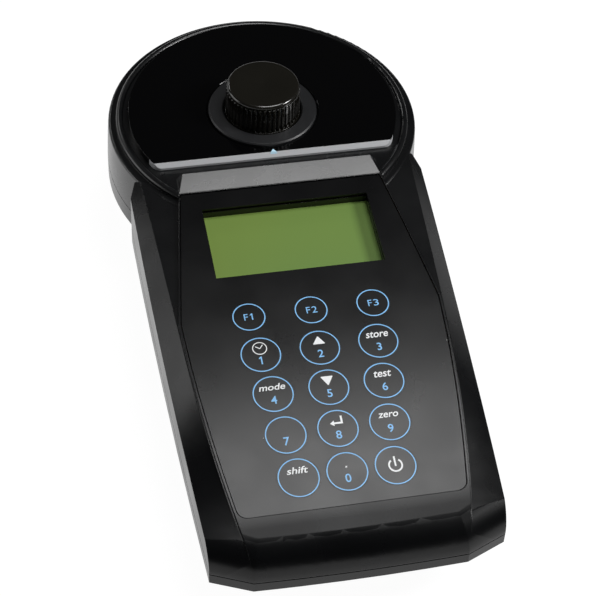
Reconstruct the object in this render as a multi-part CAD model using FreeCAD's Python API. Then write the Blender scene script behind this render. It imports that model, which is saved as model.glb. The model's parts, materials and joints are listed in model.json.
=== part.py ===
"""Hand-held colorimeter: a keypad body with a round head that holds a sample vial.

Millimetres. X runs to the user's right, Y from the chin to the head and Z up.
The origin is under the middle of the casing, on the surface that the feet stand on.
"""
import FreeCAD, Part
import math
import os

from FreeCAD import Placement, Rotation, Vector

# Casing outline, seen from above
head_radius = 48.6
side_inside_head = 3.55
side_taper = 4.15
side_bulge = 0.75
corner_width = 11.3
corner_back = 5.3
chin_bow = 0.6
wing_below_head = 27.2
wing_inset = 1.85
corner_inset_share = 0.6
loft_ahead = 8.0
loft_beyond = 14.0
loft_stations = 7

# Heights of the casing above the table
foot_height = 0.8
parting_height = 18.0
parting_angle = 3.5
groove_height = 0.3
groove_depth = 0.35
lip_front = 3.5
lip_back = 6.0
hull_inset_chin = 14.0
hull_inset_side = 8.0
hull_inset_head = 10.0
ledge = 1.5
wall = 2.4
upper_wall = 2.75
base_wall = 3.4
seal_above = 0.6
seal_below = 0.9
seal_width = 1.2
seal_gap = 0.1

# Keypad surface: a large arc across the user's view
keypad_radius = 640.0
keypad_height = 38.75
keypad_slope = 0.11
chin_round = 10.0
corner_round = 9.0
last_row_above_overlay = 9.84
row_pitch = 13.19
row_count = 5
column_pitch_top = 18.1
column_pitch_bottom = 13.46
function_key_radius = 4.95
key_radius = 5.95
key_gap = 0.05
key_reach = 3.0
spacer_gap = 0.3
key_travel = 0.3
dome_radius = 3.2
dome_height = 0.2
dome_clear = 0.05

# Raised frame round the keypad, and the shoulders beside it
waist_inside_side = 6.65
frame_taper = 7.5
frame_bulge = 1.55
frame_rise = 0.35
frame_strip = 0.7
frame_strip_top = 0.25
frame_above_window = 7.2
frame_top_below_head = 31.2
visor_taper = 2.0
visor_length = 6.4
visor_rise = 2.0
visor_flare = 2.2
visor_side_drop = 2.4
visor_seat = 0.5
ridge_inside_side = 4.05
shoulder_join_above_row = -18.0
shoulder_drop_top = 0.9
shoulder_drop_low = 0.3
wing_height = 38.7
wing_height_chin = 25.8

# Keypad overlay and its layers
overlay_thickness = 0.6
overlay_gap = 0.25
overlay_corner = 3.0
overlay_above_chin = 14.2
window_edge_gap = 1.0
circuit_thickness = 0.3

# Display
window_width = 50.1
window_length = 26.8
row_to_window = 15.0
window_recess = 3.9
window_collar = 1.5
glass_margin = 2.0
glass_gap = 0.3
glass_thickness = 1.1
light_thickness = 2.7
board_thickness = 1.6
board_margin = 2.0
board_length = 87.0
board_behind_window = 23.5
board_post_radius = 3.0
board_post_inset = 4.0
board_screw_radius = 1.2
board_screw_head = 2.2
board_screw_head_height = 1.4
board_screw_bite = 2.6
board_screw_hole_spare = 0.3
beeper_radius = 6.0
beeper_height = 4.0
beeper_mouth = 1.0

# Parts under the main board: middle across and along, width, length and height
processor = (0.0, -12.0, 16.0, 16.0, 1.5)
memory_chip = (18.0, -18.0, 8.0, 12.0, 1.5)
regulator = (-19.0, -11.0, 10.0, 6.0, 2.5)
ribbon_socket = (0.0, 8.5, 24.0, 5.0, 4.0)

# Head: rim, bead and glossy panel
rim_top = 41.6
rim_round = 0.9
wall_draft = 0.55
bead_inset = 4.1
bead_height = 43.5
bead_width = 2.2
floor_height = 42.7
panel_inside_bead = 2.8
panel_top = 44.9
panel_front_below_head = 20.5
panel_bevel_back = 0.95
panel_bevel_drop = 1.45
panel_corner = 3.0
panel_hole_bevel = 0.5

# Sample chamber and its ring
vial_radius = 12.0
chamber_gap = 0.2
chamber_wall = 2.6
ring_radius = 16.9
ring_rise = 0.7
ring_edge = 0.4
ring_gap = 0.3
beam_height = 24.0
beam_row_pitch = 10.0
beam_angle = 24.0
beam_bore = 1.5
led_radius = 2.5
led_length = 7.5
led_offset = 1.5
optics_reach = 30.0
optics_half_width = 14.0
optics_half_height = 12.0
filter_radius = 3.4
filter_thickness = 1.5
filter_offset = 4.0
detector_radius = 3.0
detector_length = 4.0
tube_below_cap = 0.1
vial_rest = 0.05
chamber_seal_width = 2.0
chamber_seal_height = 1.2

# Vial, its sample and its cap
vial_bottom = 7.4
vial_wall = 1.2
vial_shoulder = 36.5
vial_shoulder_height = 3.0
vial_edge = 1.0
neck_radius = 9.3
neck_top = 52.6
sample_level = 34.0
cap_bottom = 41.6
cap_top = 55.4
cap_skirt_radius = 11.75
cap_skirt_top = 45.2
cap_crest_radius = 11.6
cap_crest_top = 53.8
cap_crest_lean = 0.2
cap_band_radius = 11.2
cap_round = 1.0
cap_flutes = 48
flute_radius = 0.45
flute_depth = 0.36
flute_above_skirt = 0.3
cap_dish_radius = 0.9
cap_dish_depth = 0.3
liner_thickness = 0.6
fit_gap = 0.08

# Batteries, their bay and its cover
cell_radius = 7.2
cell_length = 50.0
cell_pitch = 15.0
cell_count = 4
bay_front_above_chin = 31.3
bay_length = 55.0
bay_wall = 1.6
cell_lift = 0.6
cell_top_gap = 0.4
cell_tip_radius = 2.7
cell_tip_length = 0.75
contact_width = 10.0
contact_thickness = 0.4
bay_side_gap = 1.0
cover_thickness = 2.0
cover_side_margin = 1.8
cover_margin = 2.4
cover_corner = 1.5
cover_rib_height = 0.4
cover_rib_inset = 1.0
cover_seal_width = 1.2
cover_seal_height = 0.5
notch_radius = 9.0
notch_offset = 6.0
notch_depth = 1.1
cover_tail = 11.0
cover_gap = 0.3
cover_screw_half = 22.0
screw_radius = 1.5
screw_head_radius = 2.8
screw_head_height = 1.8
screw_clear = 0.2
cover_screw_bite = 6.0
cover_screw_web = 0.8
cover_screw_sink = 0.2
cover_boss_height = 8.0
slot_width = 0.6
slot_depth = 0.4
cross_width = 0.7
cross_length = 3.2
cross_depth = 1.0
case_screw_sink = 1.0
case_screw_bite = 7.0
case_screw_spare = 1.0
boss_radius = 3.6

# Feet and case screws
foot_radius = 4.2
foot_edge = 0.4
front_foot_half = 21.5
front_foot_above_chin = 20.3
rear_foot_half = 24.0
rear_foot_above_head = 20.0
front_screw_half = 10.0
middle_screw_half = 29.5
middle_screw_behind_board = 4.4
rear_screw_inside_head = 17.6

# Places worked out from the sizes above
keypad_length = last_row_above_overlay + (row_count - 1) * row_pitch
display_length = row_to_window + window_length + frame_above_window
casing_length = overlay_above_chin + keypad_length + display_length + frame_top_below_head + head_radius
chin_y = -casing_length / 2
row_y = chin_y + overlay_above_chin + keypad_length
window_y = row_y + row_to_window + window_length / 2
frame_top_y = window_y + window_length / 2 + frame_above_window
visor_y = frame_top_y + visor_length
head_y = frame_top_y + frame_top_below_head
wing_y = head_y - wing_below_head
join_y = row_y + shoulder_join_above_row
side_half = head_radius - side_inside_head
corner_half = side_half - side_taper
chin_half = corner_half - corner_width
frame_half_waist = side_half - waist_inside_side
frame_half_top = frame_half_waist - frame_taper
ridge_half_top = side_half - ridge_inside_side
bead_radius = head_radius - bead_inset
panel_radius = bead_radius - panel_inside_bead
board_width = window_width + 2 * (glass_margin + board_margin)
hull_floor = foot_height
reach = casing_length
chamber_radius = vial_radius + chamber_gap
chamber_outer = chamber_radius + chamber_wall
pocket_depth = overlay_thickness + key_travel + dome_clear + dome_height + circuit_thickness
slope_length = math.hypot(1, keypad_slope)
arc_centre_y = row_y + keypad_radius * keypad_slope / slope_length
arc_centre_z = keypad_height - keypad_radius / slope_length
bay_front = chin_y + bay_front_above_chin
bay_back = bay_front + bay_length
bay_half = (cell_count * cell_pitch + bay_side_gap) / 2
cover_seat = foot_height + cover_thickness
display_tilt = math.degrees(math.asin((arc_centre_y - window_y) / keypad_radius))
bay_top = cover_seat + cell_lift + 2 * cell_radius + cell_top_gap + bay_wall


def surface_z(y, rise=0.0):
    """Height of the keypad arc, or of a layer that lies rise above it."""
    return arc_centre_z + math.sqrt((keypad_radius + rise) ** 2 - (y - arc_centre_y) ** 2)


def parting_z(y):
    """Height of the joint between the two housings."""
    return parting_height + (y - chin_y) * math.tan(math.radians(parting_angle))


def lip_z(y):
    """Lower edge of the band under the joint, deeper below the head."""
    share = (y - chin_y) / (head_y - chin_y)
    return parting_z(y) - lip_front - (lip_back - lip_front) * share


def frame_half(y):
    """Half width of the raised frame: widest at the waist, bowed below it."""
    if y > row_y:
        share = (y - row_y) / (frame_top_y - row_y)
        return frame_half_waist + (frame_half_top - frame_half_waist) * share
    share = (row_y - y) / (row_y - chin_y)
    chord = frame_half_waist + (chin_half - frame_half_waist) * share
    return chord + frame_bulge * (1 - (2 * share - 1) ** 2)


def line(a, b):
    return Part.LineSegment(Vector(*a), Vector(*b)).toShape()


def arc(a, b, c):
    return Part.Arc(Vector(*a), Vector(*b), Vector(*c)).toShape()


def face_of(edges):
    return Part.Face(Part.Wire(Part.__sortEdges__(edges)))


def polygon_face(points):
    return Part.Face(Part.makePolygon([Vector(*p) for p in points] + [Vector(*points[0])]))


def up(face, bottom, top):
    """Solid that a flat face sweeps from one height to another."""
    low = face.copy()
    low.translate(Vector(0, 0, bottom))
    return low.extrude(Vector(0, 0, top - bottom))


def across(points):
    """Solid of a side profile, swept across the whole casing."""
    face = polygon_face([(-reach, y, z) for y, z in points])
    return face.extrude(Vector(2 * reach, 0, 0))


def box(x0, x1, y0, y1, z0, z1):
    return Part.makeBox(x1 - x0, y1 - y0, z1 - z0, Vector(x0, y0, z0))


def rod(radius, x, y, z0, z1):
    return Part.makeCylinder(radius, z1 - z0, Vector(x, y, z0))


def turned(points, x, y):
    """Solid of revolution of a closed outline of radius and height pairs."""
    face = polygon_face([(r, 0, z) for r, z in points])
    solid = face.revolve(Vector(0, 0, 0), Vector(0, 0, 1), 360)
    solid.translate(Vector(x, y, 0))
    return solid


def joined(shapes):
    return shapes[0].multiFuse(shapes[1:]).removeSplitter()


def group(shapes):
    """Separate like pieces that share one node."""
    return Part.makeCompound(shapes)


def under_arc(rise, y0, y1):
    """Everything below a layer of the keypad arc between two places."""
    middle = (y0 + y1) / 2
    tops = [(-reach, y, surface_z(y, rise)) for y in (y0, middle, y1)]
    low = [(-reach, y0, -reach), (-reach, y1, -reach)]
    face = face_of([arc(*tops), line(tops[2], low[1]), line(low[1], low[0]), line(low[0], tops[0])])
    return face.extrude(Vector(2 * reach, 0, 0))


def layer(top, bottom):
    """Curved sheet between two depths of the keypad arc."""
    y0 = chin_y - 5
    y1 = head_y
    return under_arc(top, y0, y1).cut(under_arc(bottom, y0 - 1, y1 + 1))


def below_plane(height):
    """Everything below a sloping joint that a height function describes."""
    y0 = chin_y - reach
    y1 = head_y + reach
    return across([(y0, -reach), (y1, -reach), (y1, height(y1)), (y0, height(y0))])


def wing_tip(inset, radius):
    """Corner where the shoulder's end meets the round head."""
    x = side_half - wing_inset - inset
    return x, head_y - math.sqrt(radius ** 2 - x ** 2)


def body_edges(side_inset, chin_inset, radius):
    """Left and right edges of the keypad body's outline, from chin to head."""
    x_chin = chin_half - side_inset * corner_inset_share
    x_corner = corner_half - side_inset
    x_side = side_half - side_inset
    x_tip, y_tip = wing_tip(side_inset, radius)
    y_chin = chin_y + chin_bow + chin_inset
    y_corner = chin_y + corner_back + chin_inset
    y_middle = (y_corner + wing_y) / 2
    x_middle = (x_corner + x_side) / 2 + side_bulge
    edges = [arc((-x_chin, y_chin, 0), (0, y_chin - chin_bow, 0), (x_chin, y_chin, 0))]
    for s in (-1, 1):
        edges.append(line((s * x_chin, y_chin, 0), (s * x_corner, y_corner, 0)))
        edges.append(arc((s * x_corner, y_corner, 0), (s * x_middle, y_middle, 0), (s * x_side, wing_y, 0)))
        edges.append(line((s * x_side, wing_y, 0), (s * x_tip, y_tip, 0)))
    return edges, x_tip, y_tip


def casing_outline(side_inset=0.0, chin_inset=0.0, head_inset=0.0):
    """Face of the whole casing seen from above: body and round head in one."""
    radius = head_radius - head_inset
    edges, x_tip, y_tip = body_edges(side_inset, chin_inset, radius)
    edges.append(arc((-x_tip, y_tip, 0), (0, head_y + radius, 0), (x_tip, y_tip, 0)))
    return face_of(edges)


def body_outline(inset=0.0):
    """Face of the keypad body alone, closed off inside the head."""
    edges, x_tip, y_tip = body_edges(inset, inset, head_radius - inset)
    edges.append(line((-x_tip, y_tip, 0), (x_tip, y_tip, 0)))
    return face_of(edges)


def shoulder_line(y, inset):
    """Ridge and wall of the shoulder at one place along it: both places across and heights."""
    share = (y - chin_y) / (wing_y - chin_y)
    x_wall = corner_half + (side_half - corner_half) * share - inset
    z_wall = wing_height_chin + (wing_height - wing_height_chin) * share - inset
    if y > join_y:
        up_share = (y - join_y) / (wing_y - join_y)
        x_ridge = frame_half(join_y) + (ridge_half_top - frame_half(join_y)) * up_share
        drop = shoulder_drop_low + (shoulder_drop_top - shoulder_drop_low) * up_share
    else:
        x_ridge = frame_half(y)
        drop = shoulder_drop_low
    x_ridge += frame_rise - inset
    z_ridge = surface_z(y, -drop) - inset
    return x_ridge, z_ridge, x_wall, z_wall


def shoulder_section(y, inset):
    """Closed cross-section of the body at one place along it."""
    x_ridge, z_ridge, x_wall, z_wall = shoulder_line(y, inset)
    x_out = x_wall + (x_wall - x_ridge)
    z_out = z_wall + (z_wall - z_ridge)
    points = [(x_out, 0), (x_out, z_out), (x_ridge, z_ridge)]
    ring = [(x, y, z) for x, z in points] + [(-x, y, z) for x, z in reversed(points)]
    return Part.makePolygon([Vector(*p) for p in ring] + [Vector(*ring[0])])


def shoulder_body(inset=0.0):
    """Keypad body with its sloping shoulders, before the chin is rounded."""
    start = chin_y - loft_ahead
    step = (wing_y + loft_beyond - start) / (loft_stations - 1)
    wires = [shoulder_section(start + i * step, inset) for i in range(loft_stations)]
    return Part.makeLoft(wires, True, False)


def rounded_chin(top, inset, radius):
    """Prism of the body's outline under a plane, its top edges rounded at the chin."""
    solid = up(body_outline(inset), 0, reach).common(top)
    limit = chin_y + corner_back + inset + 1
    picked = [e for e in solid.Edges
              if e.BoundBox.YMax < limit and e.BoundBox.ZMin > parting_height / 2]
    return solid.makeFillet(radius - inset, picked)


def chin_envelope(inset=0.0):
    """Envelope that rounds the keypad's surface into the chin."""
    y_start = chin_y + chin_round
    z_start = surface_z(y_start, frame_rise - inset)
    slope = (surface_z(y_start + 1) - surface_z(y_start - 1)) / 2
    front = (y_start - reach, z_start - slope * reach)
    back = (y_start + reach, z_start + slope * reach)
    top = across([(front[0], -reach), (back[0], -reach), back, front])
    return rounded_chin(top, inset, chin_round)


def corner_envelope(side, inset=0.0):
    """Envelope that rounds one shoulder's slope into the chin."""
    y_start = chin_y + corner_round
    x_ridge, z_ridge, x_wall, z_wall = shoulder_line(y_start, inset)
    x_next, z_next, x_far, z_far = shoulder_line(y_start + 1, inset)
    ridge = Vector(side * x_ridge, y_start, z_ridge)
    along = (Vector(side * x_next, y_start + 1, z_next) - ridge).normalize() * reach
    outward = (Vector(side * x_wall, y_start, z_wall) - ridge).normalize() * reach
    turns = ((1, 1), (1, -1), (-1, -1), (-1, 1))
    face = polygon_face([tuple(ridge + along * a + outward * b) for a, b in turns])
    return rounded_chin(face.extrude(Vector(0, 0, -reach)), inset, corner_round)


def keypad_form(inset=0.0):
    """Shoulders and deck of the keypad body with the chin and its corners rounded."""
    envelope = chin_envelope(inset).common(corner_envelope(-1, inset)).common(corner_envelope(1, inset))
    return shoulder_body(inset).common(envelope)


def frame_outline(inset, y_top, y_low, widen_top=0.0):
    """Face of the raised frame, or of a sheet laid inside it."""
    corner = (frame_half(y_top) - inset + widen_top, y_top)
    waist = (frame_half_waist - inset, row_y)
    y_middle = (row_y + y_low) / 2
    middle = (frame_half(y_middle) - inset, y_middle)
    foot = (frame_half(y_low) - inset, y_low)
    edges = []
    for s in (-1, 1):
        a, b, c, d = [(s * x, y, 0) for x, y in (corner, waist, middle, foot)]
        edges.append(line(a, b))
        edges.append(arc(b, c, d))
    edges.append(line((-corner[0], y_top, 0), (corner[0], y_top, 0)))
    edges.append(line((-foot[0], y_low, 0), (foot[0], y_low, 0)))
    return face_of(edges)


def rounded_sheet(inset):
    """Outline of the overlay as a tall prism, its lower corners rounded."""
    y_low = chin_y + overlay_above_chin + inset
    y_top = frame_top_y - frame_strip_top - inset
    prism = up(frame_outline(frame_strip + inset, y_top, y_low, frame_strip - frame_strip_top), 0, reach / 2)
    upright = [e for e in prism.Edges if e.BoundBox.ZLength > 1 and e.BoundBox.YMax < y_low + 0.1]
    return prism.makeFillet(overlay_corner, upright)


def raised_frame():
    """Platform that carries the keypad, before its chin is rounded with the body's."""
    plan = up(frame_outline(0, frame_top_y, chin_y - 3), 0, reach)
    return plan.common(under_arc(frame_rise, chin_y - 5, frame_top_y))


def visor_edge():
    """Foot, back edge and side corner of the visor's right end."""
    foot = (frame_half_top, frame_top_y, surface_z(frame_top_y, frame_rise))
    back = (frame_half_top - visor_taper, visor_y, foot[2] + visor_rise)
    side = (back[0] + visor_flare, visor_y, back[2] - visor_side_drop)
    return foot, back, side


def make_visor():
    """Facet that rises from the frame's top edge to the head, with slanting ends."""
    right = visor_edge()
    foot, back, side = right
    foot_l, back_l, side_l = [(-x, y, z) for x, y, z in right]
    base, base_l, rear, rear_l = [(x, y, parting_height) for x, y, z in (foot, foot_l, side, side_l)]
    faces = [(foot_l, foot, back, back_l), (foot, side, back), (foot_l, back_l, side_l),
             (foot, base, rear, side), (foot_l, side_l, rear_l, base_l),
             (back, side, rear, rear_l, side_l, back_l),
             (foot_l, base_l, base, foot), (base, base_l, rear_l, rear)]
    facet = Part.Solid(Part.Shell([polygon_face(points) for points in faces]))
    seat = box(-foot[0] + visor_seat, foot[0] - visor_seat, frame_top_y - visor_seat, visor_y - visor_seat,
               parting_height, foot[2] - visor_seat)
    return facet.fuse(seat)


def above_visor():
    """Room over the visor's facet, where the head is cut back."""
    foot, back, side = visor_edge()
    plan = up(polygon_face([(-foot[0], foot[1], 0), (foot[0], foot[1], 0), (back[0], back[1], 0),
                            (-back[0], back[1], 0)]), 0, reach)
    slope = (back[2] - foot[2]) / (back[1] - foot[1])
    return plan.cut(below_plane(lambda y: foot[2] + (y - foot[1]) * slope))


def window_opening(margin, z0, z1):
    """Upright-walled opening over the display, square to the keypad arc there."""
    half = window_width / 2 + margin
    hole = box(-half, half, -window_length / 2 - margin, window_length / 2 + margin, z0, z1)
    return on_display(hole)


def on_display(shape):
    """Moves a piece drawn flat at the window's centre to its place under the window."""
    placed = shape.copy()
    turn = Rotation(Vector(1, 0, 0), display_tilt)
    spot = Placement(Vector(0, window_y, surface_z(window_y)), turn)
    placed.Placement = spot.multiply(placed.Placement)
    return placed


def head_drum():
    """Round head with its barrel wall, rim groove and bead, before it is hollowed."""
    r_top = head_radius - wall_draft
    r_rim = r_top - rim_round
    z_rim = rim_top - rim_round
    shade = math.sqrt(0.5) * rim_round
    wall_edge = arc((r_top, 0, 0), (head_radius, 0, parting_z(head_y)), (r_top, 0, z_rim))
    rim = arc((r_top, 0, z_rim), (r_rim + shade, 0, z_rim + shade), (r_rim, 0, rim_top))
    out_foot = bead_radius + bead_width / 2
    in_foot = bead_radius - bead_width / 2
    slope = line((r_rim, 0, rim_top), (out_foot, 0, rim_top))
    rise = line((out_foot, 0, rim_top), (out_foot, 0, floor_height))
    bead = arc((out_foot, 0, floor_height), (bead_radius, 0, bead_height), (in_foot, 0, floor_height))
    floor = line((in_foot, 0, floor_height), (0, 0, floor_height))
    axis = line((0, 0, floor_height), (0, 0, 0))
    base = line((0, 0, 0), (r_top, 0, 0))
    drum = face_of([wall_edge, rim, slope, rise, bead, floor, axis, base])
    drum = drum.revolve(Vector(0, 0, 0), Vector(0, 0, 1), 360)
    drum.translate(Vector(0, head_y, 0))
    return drum


def case_screw_places():
    """Where the case screws stand."""
    front_y = chin_y + front_foot_above_chin
    middle_y = window_y + board_behind_window + middle_screw_behind_board
    return [(-front_screw_half, front_y), (front_screw_half, front_y),
            (-middle_screw_half, middle_y), (middle_screw_half, middle_y),
            (0, head_y + head_radius - rear_screw_inside_head)]


def board_local(inset=0.0):
    """Low and high corners of the circuit board, drawn flat under the window."""
    top = -(window_recess + glass_thickness + light_thickness)
    back = board_behind_window - inset
    front = board_behind_window - board_length + inset
    half = board_width / 2 - inset
    return (-half, half, front, back, top - board_thickness, top)


def board_post_places():
    """Screw places on the board, in the board's own flat drawing."""
    x0, x1, y0, y1, low, top = board_local(board_post_inset)
    return [(x, y) for x in (x0, x1) for y in (y0, y1)]


def upper_form():
    """Outer form of the upper housing: keypad body, raised frame, head and visor."""
    keypad_body = keypad_form().fuse(raised_frame()).common(chin_envelope())
    plan = up(frame_outline(0, frame_top_y, chin_y - loft_ahead), 0, reach)
    over_frame = plan.cut(under_arc(frame_rise - wall / 2, chin_y - loft_ahead, frame_top_y + 1))
    drum = head_drum().cut(over_frame).cut(above_visor())
    return keypad_body.fuse(drum).fuse(make_visor()).removeSplitter()


def joint_groove():
    """Shadow groove round the upper housing's lower edge."""
    outside = up(casing_outline(-1, -1, -1), 0, reach)
    inside = up(casing_outline(groove_depth, groove_depth, groove_depth), 0, reach)
    return outside.cut(inside).common(below_plane(lambda y: parting_z(y) + groove_height))


def make_upper_housing():
    """Upper half of the casing with its screw posts, keypad pocket and display opening."""
    below_joint = below_plane(parting_z)
    shell = upper_form().cut(below_joint)
    shell = shell.cut(keypad_form(upper_wall))
    shell = shell.cut(rod(head_radius - upper_wall, 0, head_y, 0, rim_top - wall))
    board_top = board_local()[5]
    roof = pocket_depth + wall / 6
    ceiling = under_arc(-roof, chin_y, head_y + head_radius)
    posts = [rod(boss_radius, x, y, 0, rim_top - wall / 2) for x, y in case_screw_places()]
    posts += [on_display(rod(board_post_radius, x, y, board_top, 0)) for x, y in board_post_places()]
    posts.append(window_opening(window_collar, -window_recess, -roof))
    for post in posts:
        shell = shell.fuse(post.common(ceiling).cut(below_joint))
    shell = shell.cut(joint_groove())
    case_depth = case_screw_bite + case_screw_spare
    board_depth = board_screw_bite + board_screw_hole_spare
    holes = [rod(screw_radius, x, y, 0, parting_z(y) + case_depth) for x, y in case_screw_places()]
    holes += [on_display(rod(board_screw_radius, x, y, board_top, board_top + board_depth))
              for x, y in board_post_places()]
    holes.append(rod(chamber_outer + fit_gap, 0, head_y, 0, reach))
    holes.append(rounded_sheet(0).common(layer(reach / 4, -pocket_depth)))
    holes.append(window_opening(0.0, -window_recess, reach / 4))
    holes.append(window_opening(glass_margin + glass_gap, -parting_height, -window_recess))
    for hole in holes:
        shell = shell.cut(hole)
    return shell


def hull(inset):
    """Lower part of the casing, drawn in towards its flat base."""
    top_z = parting_z(head_y)
    top = casing_outline(ledge + inset, ledge + inset, ledge + inset)
    low = casing_outline(hull_inset_side + inset, hull_inset_chin + inset, hull_inset_head + inset)
    wires = []
    for face, z in ((low, hull_floor), (top, top_z)):
        wire = face.OuterWire.copy()
        wire.translate(Vector(0, 0, z))
        wires.append(wire)
    return Part.makeLoft(wires, True, True)


def make_lower_housing():
    band = up(casing_outline(), 0, reach).common(below_plane(parting_z)).cut(below_plane(lip_z))
    inside = up(casing_outline(wall, wall, wall), 0, reach)
    room_low = hull(wall).common(box(-reach, reach, -reach, reach, hull_floor + base_wall, reach))
    outer = band.fuse(hull(0).common(below_plane(parting_z)))
    room = joined([inside.cut(below_plane(lambda y: lip_z(y) + wall)), room_low])
    shell = outer.cut(room)
    bay_outer = box(-bay_half - bay_wall, bay_half + bay_wall, bay_front - bay_wall, bay_back + bay_wall,
                    hull_floor, bay_top)
    bay_inner = box(-bay_half, bay_half, bay_front, bay_back, 0, bay_top - bay_wall)
    parts = [shell, bay_outer]
    parts += [rod(boss_radius, x, y, hull_floor, parting_z(y)).common(below_plane(parting_z))
              for x, y in case_screw_places()]
    parts += [rod(boss_radius, x, cover_screw_y(), hull_floor, cover_seat + cover_boss_height)
              for x in (-cover_screw_half, cover_screw_half)]
    solid = joined(parts)
    holes = [bay_inner, cover_plan(cover_gap, 0, cover_seat), make_cover_seal()]
    for x, y in case_screw_places():
        holes.append(rod(screw_radius + screw_clear, x, y, 0, reach))
        holes.append(rod(screw_head_radius + screw_clear, x, y, 0, case_screw_seat()))
    for x in (-cover_screw_half, cover_screw_half):
        holes.append(rod(screw_radius + fit_gap, x, cover_screw_y(), 0, cover_seat + cover_screw_bite))
    return solid.cut(group(holes))


def cover_screw_y():
    return bay_back + cover_tail / 2


def case_screw_seat():
    return hull_floor + screw_head_height + case_screw_sink


def cover_plan(grow, z0, z1):
    """Prism of the battery cover's outline."""
    half = bay_half + cover_side_margin + grow
    return box(-half, half, bay_front - cover_margin - grow, bay_back + cover_tail + grow, z0, z1)


def make_battery_cover():
    plate = cover_plan(0, foot_height, cover_seat)
    upright = [e for e in plate.Edges if e.BoundBox.ZLength > 1]
    plate = plate.makeFillet(cover_corner, upright)
    inset = cover_rib_inset
    rib = box(-bay_half + inset, bay_half - inset, bay_front + inset, bay_back - inset,
              cover_seat, cover_seat + cover_rib_height)
    cuts = [rod(notch_radius, 0, bay_back + cover_tail + notch_offset, 0, foot_height + notch_depth)]
    for x in (-cover_screw_half, cover_screw_half):
        cuts.append(rod(screw_radius + fit_gap, x, cover_screw_y(), 0, reach))
        cuts.append(rod(screw_head_radius + fit_gap, x, cover_screw_y(), 0, cover_seat - cover_screw_web))
    return plate.fuse(rib).cut(group(cuts))


def make_cover_seal():
    """Sealing cord in the step round the battery bay."""
    grow = cover_seal_width
    outer = box(-bay_half - grow, bay_half + grow, bay_front - grow, bay_back + grow,
                cover_seat, cover_seat + cover_seal_height)
    inner = box(-bay_half, bay_half, bay_front, bay_back, 0, reach)
    return outer.cut(inner)


def make_cover_screw(x):
    y = cover_screw_y()
    under = cover_seat - cover_screw_web - fit_gap / 4
    bottom = foot_height + cover_screw_sink
    head = rod(screw_head_radius, x, y, bottom, under)
    shank = rod(screw_radius, x, y, bottom, cover_seat + cover_screw_bite - fit_gap)
    slot = box(x - screw_head_radius, x + screw_head_radius, y - slot_width / 2, y + slot_width / 2,
               0, bottom + slot_depth)
    return head.fuse(shank).cut(slot)


def make_case_screws():
    screws = []
    seat = case_screw_seat()
    bottom = seat - screw_head_height
    for x, y in case_screw_places():
        head = rod(screw_head_radius, x, y, bottom, seat)
        shank = rod(screw_radius, x, y, seat, parting_z(y) + case_screw_bite)
        cross = []
        for a, b in ((cross_length / 2, cross_width / 2), (cross_width / 2, cross_length / 2)):
            cross.append(box(x - a, x + a, y - b, y + b, 0, bottom + cross_depth))
        screws.append(head.fuse(shank).cut(joined(cross)))
    return group(screws)


def foot_places():
    y_front = chin_y + front_foot_above_chin
    y_rear = head_y + rear_foot_above_head
    return [(s * x, y) for x, y in ((front_foot_half, y_front), (rear_foot_half, y_rear)) for s in (-1, 1)]


def make_feet():
    feet = []
    r = foot_radius
    e = foot_edge
    for x, y in foot_places():
        feet.append(turned([(0, 0), (r - e, 0), (r, e), (r, foot_height), (0, foot_height)], x, y))
    return group(feet)


def make_housing_seal():
    """Cord seal that lies in the joint just inside the wall."""
    outer = upper_wall + seal_gap
    inner = outer + seal_width
    hole = up(casing_outline(inner, inner, inner), 0, reach)
    ring = up(casing_outline(outer, outer, outer), 0, reach).cut(hole)
    ring = ring.common(below_plane(lambda y: parting_z(y) + seal_above))
    return ring.cut(below_plane(lambda y: parting_z(y) - seal_below))


def cell_places():
    first = -(cell_count - 1) * cell_pitch / 2
    return [first + i * cell_pitch for i in range(cell_count)]


def make_cells():
    """Four round cells with their raised ends, every second one turned round."""
    z = cover_seat + cell_lift + cell_radius
    y0 = (bay_front + bay_back - cell_length) / 2
    tip = cell_tip_length
    cells = []
    for i, x in enumerate(cell_places()):
        can = Part.makeCylinder(cell_radius, cell_length - 2 * tip, Vector(x, y0 + tip, z), Vector(0, 1, 0))
        y_tip = y0 if i % 2 else y0 + cell_length - tip
        end = Part.makeCylinder(cell_tip_radius, tip, Vector(x, y_tip, z), Vector(0, 1, 0))
        cells.append(can.fuse(end))
    return group(cells)


def make_contacts():
    """Spring plates at both ends of the battery bay."""
    z = cover_seat + cell_lift + cell_radius
    half = contact_width / 2
    plates = []
    for x in cell_places():
        for y in (bay_front, bay_back - contact_thickness):
            plates.append(box(x - half, x + half, y, y + contact_thickness, z - half, z + half))
    return group(plates)


def make_keypad_overlay():
    sheet = rounded_sheet(overlay_gap).common(layer(0, -overlay_thickness))
    cuts = [window_opening(0.0, -reach / 4, reach / 4)]
    cuts += [key_rod(x, y, r + key_gap) for name, x, y, r in keys()]
    return sheet.cut(group(cuts))


def keys():
    """Name, place and radius of each key, row by row."""
    rows = (("f1", "f2", "f3"), ("1", "2", "3"), ("4", "5", "6"), ("7", "8", "9"), ("shift", "0", "power"))
    found = []
    for i, names in enumerate(rows):
        y = row_y - i * row_pitch
        pitch = column_pitch_top + (column_pitch_bottom - column_pitch_top) * i / (len(rows) - 1)
        radius = function_key_radius if i == 0 else key_radius
        for j, name in enumerate(names):
            found.append(("key_" + name, (j - 1) * pitch, y, radius))
    return found


def key_axis(y):
    """Direction out of the keypad at one row."""
    return Vector(0, y - arc_centre_y, surface_z(y) - arc_centre_z).normalize()


def key_rod(x, y, radius, top=key_reach, bottom=-key_reach):
    normal = key_axis(y)
    start = Vector(x, y, surface_z(y)) + normal * bottom
    return Part.makeCylinder(radius, top - bottom, start, normal)


def make_key(x, y, radius):
    return key_rod(x, y, radius).common(layer(0, -overlay_thickness))


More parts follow.
